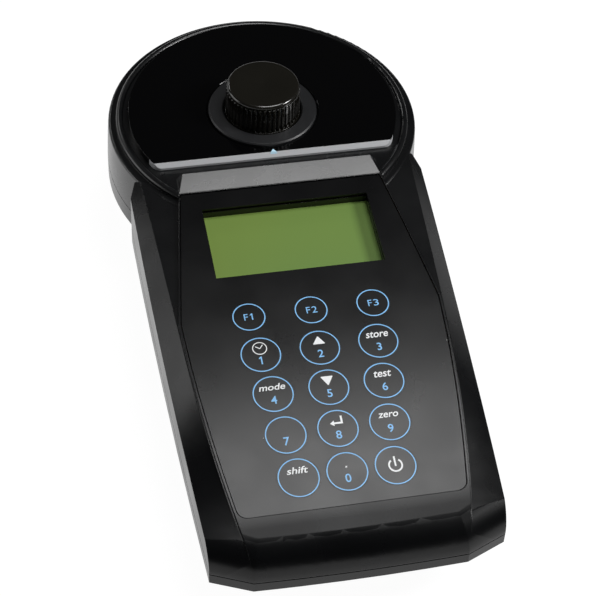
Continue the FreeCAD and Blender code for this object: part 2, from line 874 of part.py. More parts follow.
def make_domes():
    """Snap domes under the keys."""
    low = -pocket_depth + circuit_thickness
    return group([key_rod(x, y, dome_radius, low + dome_height, low) for name, x, y, r in keys()])


def make_keypad_circuit():
    sheet = rounded_sheet(overlay_gap).common(layer(-pocket_depth + circuit_thickness, -pocket_depth))
    return sheet.cut(window_opening(window_edge_gap, -reach / 4, reach / 4))


def make_keypad_spacer():
    """Sheet that holds the overlay off the switch domes."""
    sheet = rounded_sheet(overlay_gap).common(layer(-overlay_thickness, -pocket_depth + circuit_thickness))
    cuts = [window_opening(window_edge_gap, -reach / 4, reach / 4)]
    cuts += [key_rod(x, y, r + spacer_gap) for name, x, y, r in keys()]
    return sheet.cut(group(cuts))


def make_display_glass():
    half_x = window_width / 2 + glass_margin
    half_y = window_length / 2 + glass_margin
    top = -window_recess
    return on_display(box(-half_x, half_x, -half_y, half_y, top - glass_thickness, top))


def make_display_light():
    half_x = window_width / 2 + glass_margin
    half_y = window_length / 2 + glass_margin
    top = -window_recess - glass_thickness
    return on_display(box(-half_x, half_x, -half_y, half_y, top - light_thickness, top))


def make_board():
    x0, x1, y0, y1, low, top = board_local()
    plate = box(x0, x1, y0, y1, low, top)
    holes = [rod(board_screw_radius + screw_clear, x, y, low, top) for x, y in board_post_places()]
    return on_display(plate.cut(group(holes)))


def make_board_parts():
    """Processor, memory, regulator and ribbon socket under the board."""
    low = board_local()[4]
    parts = []
    for x, y, width, length, height in (processor, memory_chip, regulator, ribbon_socket):
        parts.append(box(x - width / 2, x + width / 2, y - length / 2, y + length / 2, low - height, low))
    return on_display(group(parts))


def make_beeper():
    """Sounder in the board's rear right corner, clear of the screw post."""
    x0, x1, y0, y1, low, top = board_local(board_post_inset)
    x = x1 + board_margin - beeper_radius
    y = y1 - board_post_radius - board_margin - beeper_radius
    r = beeper_radius
    m = beeper_mouth
    bottom = low - beeper_height
    outline = [(0, low), (r, low), (r, bottom), (m, bottom), (m, bottom + m), (0, bottom + m)]
    return on_display(turned(outline, x, y))


def make_board_screws():
    low = board_local()[4]
    tip = low + board_thickness + board_screw_bite
    screws = []
    for x, y in board_post_places():
        head = rod(board_screw_head, x, y, low - board_screw_head_height, low)
        screws.append(head.fuse(rod(board_screw_radius, x, y, low, tip)))
    return on_display(group(screws))


def make_head_panel():
    """Glossy plate that fills the head, cut straight and bevelled towards the keypad."""
    y_front = head_y - panel_front_below_head
    disc = rod(panel_radius, 0, head_y, floor_height, panel_top)
    plate = disc.common(box(-reach, reach, y_front, reach, 0, reach))
    corners = [e for e in plate.Edges if e.BoundBox.ZLength > 1 and e.BoundBox.YMax < y_front + 0.1]
    plate = plate.makeFillet(panel_corner, corners)
    foot = panel_top - panel_bevel_drop
    slope = panel_bevel_drop / panel_bevel_back
    y_top = y_front + panel_bevel_back
    ahead = y_front - 1
    plate = plate.cut(across([(ahead, foot - slope), (ahead, reach), (y_top, reach), (y_top, panel_top)]))
    hole = ring_radius + ring_gap
    plate = plate.cut(rod(hole, 0, head_y, 0, reach))
    return plate.cut(Part.makeCone(hole, hole + panel_hole_bevel, panel_hole_bevel,
                                   Vector(0, head_y, panel_top - panel_hole_bevel)))


def make_chamber_ring():
    """Flange that trims the mouth of the sample chamber, seated in the panel's hole."""
    mouth = chamber_radius
    top = panel_top + ring_rise
    r = ring_radius
    e = ring_edge
    return turned([(mouth, floor_height), (r, floor_height), (r, top - e), (r - e, top), (mouth + e, top),
                   (mouth, top - e)], 0, head_y)


def beams():
    """Axes of the light paths through the vial: direction angle and height."""
    heights = (beam_height - beam_row_pitch / 2, beam_height + beam_row_pitch / 2)
    return [(math.radians(a), z) for a in (-beam_angle, 0, beam_angle) for z in heights]


def beam_rod(radius, start, end, angle, z):
    """Round piece on a light path, between two distances from the chamber's axis."""
    way = Vector(math.cos(angle), math.sin(angle), 0)
    origin = Vector(0, head_y, z) + way * min(start, end)
    return Part.makeCylinder(radius, abs(end - start), origin, way)


def make_sample_chamber():
    """Light-tight well for the vial, with a holder for the optics on each side."""
    low = hull_floor + base_wall
    tube = rod(chamber_outer, 0, head_y, low, cap_bottom - tube_below_cap)
    top = beam_height + optics_half_height
    bottom = beam_height - optics_half_height
    half = optics_half_width
    blocks = box(-optics_reach, optics_reach, head_y - half, head_y + half, bottom, top)
    holes = [rod(chamber_radius, 0, head_y, vial_bottom - vial_rest, reach)]
    outer = optics_reach + filter_offset
    filter_start = chamber_outer + filter_offset
    for angle, z in beams():
        holes.append(beam_rod(led_radius + fit_gap, chamber_outer, outer, angle + math.pi, z))
        holes.append(beam_rod(beam_bore, 0, outer, angle + math.pi, z))
        holes.append(beam_rod(beam_bore, 0, outer, angle, z))
        holes.append(beam_rod(filter_radius + fit_gap, filter_start, outer, angle, z))
    return tube.fuse(blocks).cut(group(holes))


def make_leds():
    start = chamber_outer + led_offset
    return group([beam_rod(led_radius, start, start + led_length, a + math.pi, z) for a, z in beams()])


def make_filters():
    start = chamber_outer + filter_offset
    return group([beam_rod(filter_radius, start, start + filter_thickness, a, z) for a, z in beams()])


def make_detectors():
    start = chamber_outer + filter_offset + filter_thickness
    return group([beam_rod(detector_radius, start, start + detector_length, a, z) for a, z in beams()])


def make_optics_board(side):
    """Small board that closes one side of the optics block."""
    half_y = optics_half_width
    x0, x1 = sorted((side * optics_reach, side * (optics_reach + board_thickness)))
    z0 = beam_height - optics_half_height
    z1 = beam_height + optics_half_height
    return box(x0, x1, head_y - half_y, head_y + half_y, z0, z1)


def make_chamber_seal():
    """Soft ring between the well and the head's floor."""
    inner = chamber_outer
    outer = inner + chamber_seal_width
    top = rim_top - wall
    low = top - chamber_seal_height
    return turned([(inner, low), (outer, low), (outer, top), (inner, top)], 0, head_y)


def make_vial():
    """Round glass vial with a narrower neck."""
    r = vial_radius
    t = vial_wall
    n = neck_radius
    e = vial_edge
    low = vial_bottom
    neck = vial_shoulder + vial_shoulder_height
    outline = [(0, low), (r - e, low), (r, low + e), (r, vial_shoulder), (n, neck), (n, neck_top),
               (n - t, neck_top), (n - t, neck), (r - t, vial_shoulder), (r - t, low + t + e),
               (r - t - e, low + t), (0, low + t)]
    return turned(outline, 0, head_y)


def make_sample():
    """Measured water in the vial."""
    r = vial_radius - vial_wall
    e = vial_edge
    bottom = vial_bottom + vial_wall
    outline = [(0, bottom), (r - e, bottom), (r, bottom + e), (r, sample_level), (0, sample_level)]
    return turned(outline, 0, head_y)


def make_vial_cap():
    """Fluted screw cap with a smooth skirt, a plain band and a softly rounded top."""
    skirt = cap_skirt_radius
    crest = cap_crest_radius
    crest_top = crest - cap_crest_lean
    band = cap_band_radius
    band_low = cap_crest_top + crest_top - band
    band_top = cap_top - cap_round
    shade = cap_round * (1 - math.sqrt(0.5))
    crown = band - cap_round
    outline = [(0, cap_bottom), (skirt, cap_bottom), (skirt, cap_skirt_top), (crest, cap_skirt_top),
               (crest_top, cap_crest_top), (band, band_low), (band, band_top)]
    edges = [line((a, 0, b), (c, 0, d)) for (a, b), (c, d) in zip(outline, outline[1:])]
    edges.append(arc((band, 0, band_top), (band - shade, 0, cap_top - shade), (crown, 0, cap_top)))
    edges.append(line((crown, 0, cap_top), (0, 0, cap_top)))
    edges.append(line((0, 0, cap_top), (0, 0, cap_bottom)))
    body = face_of(edges).revolve(Vector(0, 0, 0), Vector(0, 0, 1), 360)
    lean = Vector(-cap_crest_lean, 0, cap_crest_top - cap_skirt_top)
    start = Vector(crest + flute_radius - flute_depth, 0, cap_skirt_top + flute_above_skirt)
    length = band_low - cap_skirt_top
    cuts = []
    for i in range(cap_flutes):
        flute = Part.makeCylinder(flute_radius, length, start, lean)
        flute.rotate(Vector(0, 0, 0), Vector(0, 0, 1), 360 * i / cap_flutes)
        cuts.append(flute)
    cuts.append(rod(neck_radius + fit_gap, 0, 0, 0, neck_top + liner_thickness))
    cuts.append(Part.makeCone(0, cap_dish_radius, cap_dish_depth, Vector(0, 0, cap_top - cap_dish_depth)))
    cap = body.cut(group(cuts))
    cap.translate(Vector(0, head_y, 0))
    return cap


def make_cap_liner():
    return rod(neck_radius, 0, head_y, neck_top, neck_top + liner_thickness)


def save(node, shape):
    """Writes one node and says what it holds."""
    bad = [s for s in shape.Solids if not s.isValid()]
    state = "BAD" if bad or not shape.Solids else "ok"
    print(node, len(shape.Solids), "solids", round(shape.Volume, 1), "mm3", state)
    shape.exportStep("parts/" + node + ".step")


os.makedirs("parts", exist_ok=True)
save("upper_housing", make_upper_housing())
save("lower_housing", make_lower_housing())
save("housing_seal", make_housing_seal())
save("head_panel", make_head_panel())
save("chamber_ring", make_chamber_ring())
save("sample_chamber", make_sample_chamber())
save("chamber_seal", make_chamber_seal())
save("light_sources", make_leds())
save("light_filters", make_filters())
save("light_detectors", make_detectors())
save("light_source_board", make_optics_board(-1))
save("detector_board", make_optics_board(1))
save("vial_glass", make_vial())
save("water_sample", make_sample())
save("vial_cap", make_vial_cap())
save("cap_liner", make_cap_liner())
save("keypad_overlay", make_keypad_overlay())
save("keypad_spacer", make_keypad_spacer())
save("keypad_circuit", make_keypad_circuit())
save("switch_domes", make_domes())
for key_name, key_x, key_y, key_r in keys():
    save(key_name, make_key(key_x, key_y, key_r))
save("display_glass", make_display_glass())
save("display_light", make_display_light())
save("main_board", make_board())
save("board_parts", make_board_parts())
save("beeper", make_beeper())
save("board_screws", make_board_screws())
save("battery_cells", make_cells())
save("battery_contacts", make_contacts())
save("battery_cover", make_battery_cover())
save("cover_seal", make_cover_seal())
save("cover_screw_left", make_cover_screw(-cover_screw_half))
save("cover_screw_right", make_cover_screw(cover_screw_half))
save("case_screws", make_case_screws())
save("rubber_feet", make_feet())
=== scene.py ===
import json
import math

import bmesh
import bpy
from mathutils import Matrix, Vector


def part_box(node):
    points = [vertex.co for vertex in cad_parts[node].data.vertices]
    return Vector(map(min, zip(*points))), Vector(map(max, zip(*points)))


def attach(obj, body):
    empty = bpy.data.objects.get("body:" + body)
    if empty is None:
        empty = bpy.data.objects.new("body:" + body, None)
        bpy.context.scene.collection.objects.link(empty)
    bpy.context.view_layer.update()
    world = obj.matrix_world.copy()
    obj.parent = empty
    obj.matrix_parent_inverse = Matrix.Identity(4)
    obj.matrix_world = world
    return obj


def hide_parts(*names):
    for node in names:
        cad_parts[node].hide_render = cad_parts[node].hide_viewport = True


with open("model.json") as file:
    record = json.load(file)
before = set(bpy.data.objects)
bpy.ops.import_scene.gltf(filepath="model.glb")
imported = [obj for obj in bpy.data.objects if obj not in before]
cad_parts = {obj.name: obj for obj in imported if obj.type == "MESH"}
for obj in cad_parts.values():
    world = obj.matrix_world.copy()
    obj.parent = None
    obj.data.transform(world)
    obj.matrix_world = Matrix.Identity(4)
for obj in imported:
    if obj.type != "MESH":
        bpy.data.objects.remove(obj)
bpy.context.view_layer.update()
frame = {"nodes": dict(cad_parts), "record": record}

MM = 0.001

# The photograph's camera
PHOTO_WIDTH = 614
FOCAL_PIXELS = 1918.8
SENSOR_WIDTH = 36.0
CAMERA_AZIMUTH = -13.568
CAMERA_ELEVATION = 47.037
CAMERA_ROLL = 3.445
CAMERA_PLACE = Vector((-88.69, -387.55, 443.37)) * MM
CAMERA_REACH = 20

# Softboxes: place and target, width and height, in metres, and radiance
LIGHTS = {
    "overhead": ((0.11, 0.05, 0.6), (0.11, 0.05, 0), (0.28, 0.2), 10.0),
    "left_side": ((-0.9, 0.25, 0.28), (0, 0, 0.03), (0.6, 0.35), 2.5),
    "right": ((0.55, -0.13, 0.49), (0.03, -0.02, 0.03), (0.2, 0.2), 30.0),
    "back_left": ((-0.42, 0.85, 0.6), (0, 0.054, 0.04), (0.35, 0.12), 6.0),
}
WORLD_STRENGTH = 0.02

# The floor glows white for the camera and fades where the case mirrors it on the right
FLOOR_REACH = 3.0
FLOOR_GLOW = 1.1
FLOOR_GLOW_SHARE = 0.88
FADE_START = 0.11
FADE_END = 0.2
FADE_MOST = 0.95

# The keypad is a large arc that climbs towards the head, in millimetres
KEYPAD_RADIUS = 640.0
KEYPAD_HEIGHT = 38.75
KEYPAD_SLOPE = 0.11
FUNCTION_ROW_Y = -26.0
SLOPE_LENGTH = math.hypot(1, KEYPAD_SLOPE)
ARC_Y = FUNCTION_ROW_Y + KEYPAD_RADIUS * KEYPAD_SLOPE / SLOPE_LENGTH
ARC_Z = KEYPAD_HEIGHT - KEYPAD_RADIUS / SLOPE_LENGTH

# Print on the keypad, in millimetres
INK_LIFT = 0.012
INK_THICKNESS = 0.03
RING_INSET = 0.39
RING_LINE = 0.32
DIGIT_HEIGHT = 2.5
DIGIT_PLACE = (-0.1, -1.95)
DIGIT_WEIGHT = 0.01
LABEL_HEIGHT = 2.2
LABEL_LETTER_WIDTH = 1.15
LABEL_LETTER_PLACE = (-0.85, 0)
LABEL_FIGURE_WIDTH = 1.5
LABEL_FIGURE_PLACE = (0.95, 0)
WORD_RISE = 2.2
WORD_HEIGHT = 2.05
WORD_HEIGHT_LOW = 1.5
WORD_SLANT = 0.22
WORD_WEIGHT = 0.012
CLOCK_LINE = 0.27
POWER_LINE = 0.48
TRIANGLE_HALF = 1.8
TRIANGLE_BLUNT = 0.22

# Panel in the head and the mark folded over its front bevel, in millimetres
PANEL_EDGE_DEPTH = 3.2
BEVEL_ACROSS = 0.95
BEVEL_DOWN = 1.45
MARK_HALF = 1.15
MARK_APEX = 1.2
MARK_FOOT = 0.4
MARK_LIFTS = (0.01, 0.04)

# Two dots of the display's grid span this many millimetres
DOT_PAIR = 0.8

# Specks of dust lie on what faces up at least this much
DUST = (0.5, 0.5, 0.48)
DUST_SLANT = 0.85
DUST_SIZE = 0.06

# The case's reflection is painted stronger on the head and painted weaker on the top of the deck above the
# chin, standing in for how the light falls there: places along it in millimetres
KEYPAD_SHINE = 0.3
HEAD_PAINTED_SHINE = 0.56
SHINE_START_Y = -10
SHINE_END_Y = 18
DECK_START_Y = -84
DECK_END_Y = -92
DECK_PAINTED_SHADE = 0.2
LEVEL = 0.95

# Screw cap of the vial: its outline and its grooves, in millimetres, and the angle
# from which an edge shows as sharp
CAP_BORE = 9.38
CAP_CEILING = 53.2
CAP_SKIRT_TOP = 45.2
CAP_SKIRT_CHAMFER = (0.1, 0.15)
CAP_CREST = 11.6
CAP_CREST_TOP = 53.8
CAP_LEAN = 0.2
CAP_EASING_LOW = 0.25
CAP_EASING_HEIGHT = 0.3
CAP_BAND = 11.2
CAP_ROUND = 1.0
CAP_DISH = 0.9
CAP_DISH_DEPTH = 0.3
GROOVES = 48
GROOVE_STEPS = 12
GROOVE_RADIUS = 0.45
GROOVE_DEPTH = 0.36
GROOVE_LOW = 45.5
GROOVE_MIDDLE = (48.2, 50.9)
GROOVE_TOP = 54.3
SHARP_ANGLE = 35


class Paint:
    """A node material under construction: one Principled shader and what feeds it."""

    def __init__(self, name, colour, roughness, **inputs):
        self.material = bpy.data.materials.new(name)
        self.material.use_nodes = True
        self.tree = self.material.node_tree
        self.shader = self.tree.nodes["Principled BSDF"]
        self.colour = colour
        self.roughness = roughness
        self.ground = None
        self.normal = None
        self.shader.inputs["Base Color"].default_value = (*colour, 1)
        self.shader.inputs["Roughness"].default_value = roughness
        for key, value in inputs.items():
            self.shader.inputs[key.replace("_", " ")].default_value = value
        self.place = self.add("ShaderNodeTexCoord").outputs["Object"]

    def add(self, kind, inputs=None, **settings):
        """A node with its settings, and a value or a link for each socket that is named."""
        node = self.tree.nodes.new(kind)
        for key, value in settings.items():
            setattr(node, key, value)
        for socket, given in (inputs or {}).items():
            self.feed(node.inputs[socket], given)
        return node

    def feed(self, socket, given):
        """Links an output to a socket, or sets the socket to a value."""
        if isinstance(given, bpy.types.NodeSocket):
            self.tree.links.new(given, socket)
        else:
            socket.default_value = given

    def math(self, operation, a, b=0.0):
        return self.add("ShaderNodeMath", operation=operation, inputs={0: a, 1: b}).outputs[0]

    def scaled(self, value, low, high, to_low, to_high):
        """Stretches the span from low to high to another span, and holds it there."""
        node = self.add("ShaderNodeMapRange", inputs={
            "Value": value, "From Min": low, "From Max": high, "To Min": to_low, "To Max": to_high})
        return node.outputs["Result"]

    def along(self, axis):
        """How far a point lies along one axis, in metres."""
        return self.add("ShaderNodeSeparateXYZ", inputs={0: self.place}).outputs[axis]

    def facing(self, axis):
        """One component of the surface's own direction."""
        geometry = self.add("ShaderNodeNewGeometry").outputs["True Normal"]
        return self.add("ShaderNodeSeparateXYZ", inputs={0: geometry}).outputs[axis]

    def noise(self, size, detail=2.0, roughness=0.5):
        """Cloudy pattern whose features are about size millimetres across."""
        node = self.add("ShaderNodeTexNoise", inputs={
            "Vector": self.place, "Scale": 1 / (size * MM), "Detail": detail, "Roughness": roughness})
        return node.outputs["Fac"]

    def cells(self, size, output="Distance", feature="F1"):
        """Pattern of cells about size millimetres across."""
        node = self.add("ShaderNodeTexVoronoi", feature=feature, inputs={
            "Vector": self.place, "Scale": 1 / (size * MM)})
        return node.outputs[output]

    def mixed(self, share, a, b):
        """Colour between a and b."""
        node = self.add("ShaderNodeMix", data_type="RGBA", clamp_factor=True)
        self.feed(node.inputs["Factor"], share)
        for socket, given in ((node.inputs["A"], a), (node.inputs["B"], b)):
            value = (*given, 1) if isinstance(given, tuple) and len(given) == 3 else given
            self.feed(socket, value)
        return node.outputs["Result"]

    def paint(self, colour):
        """Feeds the shader's colour and remembers it as the ground for what lies on it."""
        self.ground = colour
        self.feed(self.shader.inputs["Base Color"], colour)

    def gloss(self, roughness):
        self.feed(self.shader.inputs["Roughness"], roughness)

    def rounded(self, radius):
        """Catches light along edges as if they were rounded by this radius in millimetres."""
        node = self.add("ShaderNodeBevel", samples=6, inputs={"Radius": radius * MM})
        self.normal = node.outputs["Normal"]
        self.feed(self.shader.inputs["Normal"], self.normal)

    def relief(self, height, depth):
        """Fine relief, depth millimetres deep."""
        node = self.add("ShaderNodeBump", inputs={"Height": height, "Distance": depth * MM, "Strength": 1.0})
        if self.normal is not None:
            self.feed(node.inputs["Normal"], self.normal)
        self.normal = node.outputs["Normal"]
        self.feed(self.shader.inputs["Normal"], self.normal)

    def uneven(self, size, amount):
        """Lets colour and roughness drift a little over the surface."""
        drift = self.noise(size, 4.0)
        low = tuple(c * (1 - amount) for c in self.colour)
        high = tuple(c * (1 + amount) for c in self.colour)
        self.paint(self.mixed(drift, low, high))
        self.gloss(self.scaled(drift, 0.3, 0.7, self.roughness * (1 - amount), self.roughness * (1 + amount)))

    def dusty(self, share, size):
        """Puts a speck of dust in a share of the cells, each size millimetres across."""
        distance = self.cells(size)
        chance = self.add("ShaderNodeSeparateColor", inputs={0: self.cells(size, "Color")}).outputs[0]
        radius = self.scaled(chance, 1 - share, 1.0, 0.0, DUST_SIZE)
        speck = self.math("LESS_THAN", distance, radius)
        upward = self.math("GREATER_THAN", self.facing(2), DUST_SLANT)
        self.paint(self.mixed(self.math("MULTIPLY", speck, upward), self.ground, DUST))


def moulded_plastic(name, colour, roughness, grain, depth, edge=0.25, shine=0.5):
    """Moulded plastic with a fine spark-eroded grain."""
    paint = Paint(name, colour, roughness, Specular_IOR_Level=shine)
    paint.rounded(edge)
    paint.uneven(18.0, 0.12)
    paint.relief(paint.noise(grain, 3.0, 0.6), depth)
    return paint


def case_paint():
    """Black case whose reflection is painted stronger on the head and painted weaker on the deck's top above
    the chin, standing in for how the light falls.
    """
    paint = moulded_plastic("case_black", (0.0028, 0.003, 0.0034), 0.28, 0.25, 0.002, 0.3, KEYPAD_SHINE)
    along = paint.along(1)
    # Painted reflection: the case reflects more towards the head; painted shade: less on the deck's upward
    # faces above the chin
    shine = paint.scaled(along, SHINE_START_Y * MM, SHINE_END_Y * MM, KEYPAD_SHINE, HEAD_PAINTED_SHINE)
    deck = paint.math("MULTIPLY", paint.scaled(along, DECK_START_Y * MM, DECK_END_Y * MM, 0.0, 1.0),
                      paint.math("GREATER_THAN", paint.facing(2), LEVEL))
    paint.feed(paint.shader.inputs["Specular IOR Level"],
               paint.math("SUBTRACT", shine, paint.math("MULTIPLY", deck, DECK_PAINTED_SHADE)))
    paint.dusty(0.012, 3.0)
    return paint.material


def overlay_paint():
    """Satin printed film of the keypad."""
    paint = moulded_plastic("overlay_film", (0.0028, 0.0029, 0.0032), 0.3, 0.16, 0.006, 0.03, KEYPAD_SHINE)
    paint.dusty(0.03, 2.6)
    return paint.material


def gloss_panel_paint():
    """Black acrylic: mirror smooth on top, frosted grey on the bevel of its front edge."""
    black = (0.0012, 0.0012, 0.0014)
    frosted = (0.56, 0.57, 0.585)
    paint = Paint("gloss_panel", black, 0.06)
    paint.rounded(0.12)
    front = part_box("head_panel")[0].y + PANEL_EDGE_DEPTH * MM
    in_front = paint.math("LESS_THAN", paint.along(1), front)
    cut = paint.math("MULTIPLY", in_front, paint.math("LESS_THAN", paint.facing(2), LEVEL))
    smear = paint.noise(22.0, 3.0)
    paint.gloss(paint.mixed(cut, paint.scaled(smear, 0.35, 0.7, 0.03, 0.09), (0.42, 0.42, 0.42)))
    paint.paint(paint.mixed(cut, black, frosted))
    return paint.material


def display_paint():
    """Reflective liquid-crystal panel, blank, with its fine dot grid and painted shade that darkens it
    towards the right front over a slight random drift.
    """
    paint = Paint("display_green", (0.19, 0.29, 0.07), 0.3, Coat_Weight=0.25, Coat_Roughness=0.08)
    # Painted shade: the green darkens towards the right front, mixed with a random drift in tone
    slant = paint.math("SUBTRACT", paint.along(0), paint.along(1))
    drift = paint.math("ADD", paint.scaled(slant, 30 * MM, -30 * MM, 0.0, 1.0),
                       paint.scaled(paint.noise(30.0, 1.0), 0.3, 0.7, -0.15, 0.15))
    ground = paint.mixed(drift, (0.132, 0.225, 0.056), (0.165, 0.25, 0.052))
    grid = paint.add("ShaderNodeTexBrick", offset=0.0, inputs={
        "Vector": paint.place, "Scale": 1 / (DOT_PAIR * MM), "Color1": (1, 1, 1, 1), "Color2": (1, 1, 1, 1),
        "Mortar": (0, 0, 0, 1), "Mortar Size": 0.03, "Mortar Smooth": 0.3,
        "Brick Width": 0.5, "Row Height": 0.5})
    lines = paint.scaled(grid.outputs["Color"], 0, 1, 0.10, 0.0)
    paint.paint(paint.mixed(lines, ground, (0.10, 0.16, 0.04)))
    return paint.material


def film_paint():
    """Amber circuit film."""
    paint = Paint("circuit_film", (0.28, 0.10, 0.02), 0.35)
    paint.uneven(6.0, 0.2)
    return paint.material


def trim_paint():
    """Satin ring round the chamber's mouth."""
    return moulded_plastic("trim_ring", (0.0085, 0.0088, 0.0098), 0.42, 0.25, 0.004, 0.14).material


def cap_paint():
    """Glossy moulded cap."""
    return moulded_plastic("cap_black", (0.0078, 0.0072, 0.0055), 0.16, 1.6, 0.003, 0.05, 0.6).material


def rubber_paint():
    """Dull black rubber of the seals and feet."""
    return moulded_plastic("soft_rubber", (0.014, 0.014, 0.015), 0.75, 0.5, 0.02, 0.3).material


def chamber_paint():
    """Light-tight black of the sample chamber."""
    return moulded_plastic("chamber_black", (0.006, 0.006, 0.006), 0.55, 0.3, 0.01).material


def chip_paint():
    """Moulded epoxy of the chips."""
    return moulded_plastic("chip_epoxy", (0.015, 0.015, 0.016), 0.5, 0.2, 0.01).material


def steel_paint():
    """Bright screw steel with turning marks."""
    paint = Paint("plated_steel", (0.56, 0.57, 0.58), 0.3, Metallic=1.0)
    paint.rounded(0.1)
    paint.uneven(1.5, 0.15)
    paint.relief(paint.noise(0.12, 2.0), 0.006)
    return paint.material


def board_paint():
    """Green solder mask over copper tracks."""
    paint = Paint("circuit_board", (0.012, 0.09, 0.035), 0.3, Coat_Weight=0.4, Coat_Roughness=0.15)
    track = paint.math("GREATER_THAN", paint.cells(2.2, "Distance", "DISTANCE_TO_EDGE"), 0.12)
    paint.paint(paint.mixed(track, (0.02, 0.16, 0.06), (0.01, 0.075, 0.03)))
    paint.relief(track, 0.03)
    return paint.material


def cell_paint():
    """Plain sleeved cell: dark sleeve with a copper band, bright steel ends."""
    low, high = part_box("battery_cells")
    middle = (low.y + high.y) / 2
    sleeve_half = (high.y - low.y) / 2 - 1.6 * MM
    dark = (0.02, 0.05, 0.12)
    paint = Paint("cell_sleeve", dark, 0.25)
    beyond = paint.math("SUBTRACT", paint.along(1), middle)
    bare = paint.math("GREATER_THAN", paint.math("ABSOLUTE", beyond), sleeve_half)
    band = paint.math("GREATER_THAN", beyond, sleeve_half * 0.5)
    sleeve = paint.mixed(band, dark, (0.45, 0.30, 0.10))
    paint.paint(paint.mixed(bare, sleeve, (0.6, 0.6, 0.6)))
    paint.feed(paint.shader.inputs["Metallic"], bare)
    paint.relief(paint.noise(2.0), 0.02)
    return paint.material


def clear_paint(name, colour, ior, roughness):
    """Glass, water or clear resin."""
    paint = Paint(name, colour, roughness, IOR=ior, Transmission_Weight=1.0)
    paint.relief(paint.noise(6.0), 0.01)
    return paint.material


def filter_paint():
    """Interference filters: each pair of light paths has its own colour."""
    low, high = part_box("light_filters")
    paint = Paint("filter_glass", (0.3, 0.2, 0.4), 0.08, Metallic=0.4)
    ramp = paint.add("ShaderNodeValToRGB", inputs={0: paint.scaled(paint.along(1), low.y, high.y, 0, 1)})
    ramp.color_ramp.interpolation = "CONSTANT"
    ramp.color_ramp.elements[0].color = (0.05, 0.12, 0.55, 1)
    ramp.color_ramp.elements[1].position = 0.66
    ramp.color_ramp.elements[1].color = (0.55, 0.06, 0.03, 1)
    ramp.color_ramp.elements.new(0.33).color = (0.05, 0.4, 0.1, 1)
    paint.paint(ramp.outputs["Color"])
    return paint.material


def liner_paint():
    """Pale foam of the cap's liner."""
    paint = Paint("foam_liner", (0.75, 0.75, 0.72), 0.8)
    paint.relief(paint.cells(0.3), 0.05)
    return paint.material


def ink_paint(name, colour):
    """Screen-printed ink, slightly uneven."""
    paint = Paint(name, colour, 0.45)
    paint.uneven(0.5, 0.05)
    paint.relief(paint.noise(0.12), 0.004)
    return paint.material


PAINTS = {
    "case": case_paint(),
    "gloss_panel": gloss_panel_paint(),
    "trim_ring": trim_paint(),
    "overlay": overlay_paint(),
    "display": display_paint(),
    "light_guide": clear_paint("light_guide", (0.9, 0.95, 0.8), 1.49, 0.3),
    "board": board_paint(),
    "chip": chip_paint(),
    "film": film_paint(),
    "chamber": chamber_paint(),
    "lamp": clear_paint("lamp_resin", (0.95, 0.95, 0.9), 1.5, 0.1),
    "filter": filter_paint(),
    "sensor": chip_paint(),
    "steel": steel_paint(),
    "cell": cell_paint(),
    "rubber": rubber_paint(),
    "clear_glass": clear_paint("clear_glass", (0.97, 0.99, 0.98), 1.5, 0.02),
    "water": clear_paint("water", (0.85, 0.93, 0.97), 1.33, 0.0),
    "cap": cap_paint(),
    "liner": liner_paint(),
}
BLUE_INK = ink_paint("blue_ink", (0.21, 0.50, 0.85))
WHITE_INK = ink_paint("white_ink", (0.82, 0.83, 0.84))
PALE_INK = ink_paint("pale_ink", (0.5, 0.74, 0.88))


def dress_nodes():
    """Gives every CAD node the paint of its material slot."""
    for subpart in frame["record"]["subparts"]:
        node = frame["nodes"][subpart["node"]]
        node.data.materials.clear()
        node.data.materials.append(PAINTS[subpart["material_slot"]])


def on_scene(name, data):
    """A new object that shows in the scene."""
    thing = bpy.data.objects.new(name, data)
    bpy.context.scene.collection.objects.link(thing)
    return thing


def piece_of(name, drawing, material, body):
    """Turns a drawing into a piece of the object that rides on a body."""
    mesh = bpy.data.meshes.new(name)
    drawing.to_mesh(mesh)
    drawing.free()
    mesh.materials.append(material)
    piece = on_scene(name, mesh)
    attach(piece, body)
    return piece


def keypad_point(x, y, lift=0.0):
    """Point on the keypad's arc, or lift millimetres above it, in metres."""
    out = KEYPAD_RADIUS + lift
    angle = math.asin((y - ARC_Y) / KEYPAD_RADIUS)
    return Vector((x, ARC_Y + out * math.sin(angle), ARC_Z + out * math.cos(angle))) * MM


def printed(name, drawing, centre, ink, body):
    """Lays a flat drawing on the keypad as a thin layer of ink."""
    for vertex in drawing.verts:
        x, y, layer = vertex.co
        vertex.co = keypad_point(centre.x + x, centre.y + y, INK_LIFT + layer * INK_THICKNESS)
    piece_of(name, drawing, ink, body)


def add_prism(drawing, loop):
    """Adds a closed outline to the drawing, one unit thick."""
    low = [drawing.verts.new((x, y, 0)) for x, y in loop]
    top = [drawing.verts.new((x, y, 1)) for x, y in loop]
    drawing.faces.new(list(reversed(low)))
    drawing.faces.new(top)
    for i in range(len(loop)):
        j = (i + 1) % len(loop)
        drawing.faces.new((low[i], low[j], top[j], top[i]))


def add_band(drawing, radius, width, start, end, steps, centre=(0, 0)):
    """Adds part of a flat ring, or all of it when it spans 360 degrees."""
    whole = end - start >= 360
    count = steps if whole else steps + 1
    inner = radius - width / 2
    outer = radius + width / 2
    rows = []
    for i in range(count):
        turn = math.radians(start + (end - start) * i / steps)
        row = []
        for r, z in ((inner, 0), (outer, 0), (outer, 1), (inner, 1)):
            row.append(drawing.verts.new((centre[0] + r * math.cos(turn), centre[1] + r * math.sin(turn), z)))
        rows.append(row)
    for i in range(steps):
        a = rows[i]
        b = rows[(i + 1) % count]
        for k in range(4):
            drawing.faces.new((a[k], a[(k + 1) % 4], b[(k + 1) % 4], b[k]))
    if not whole:
        drawing.faces.new(list(reversed(rows[0])))
        drawing.faces.new(rows[-1])


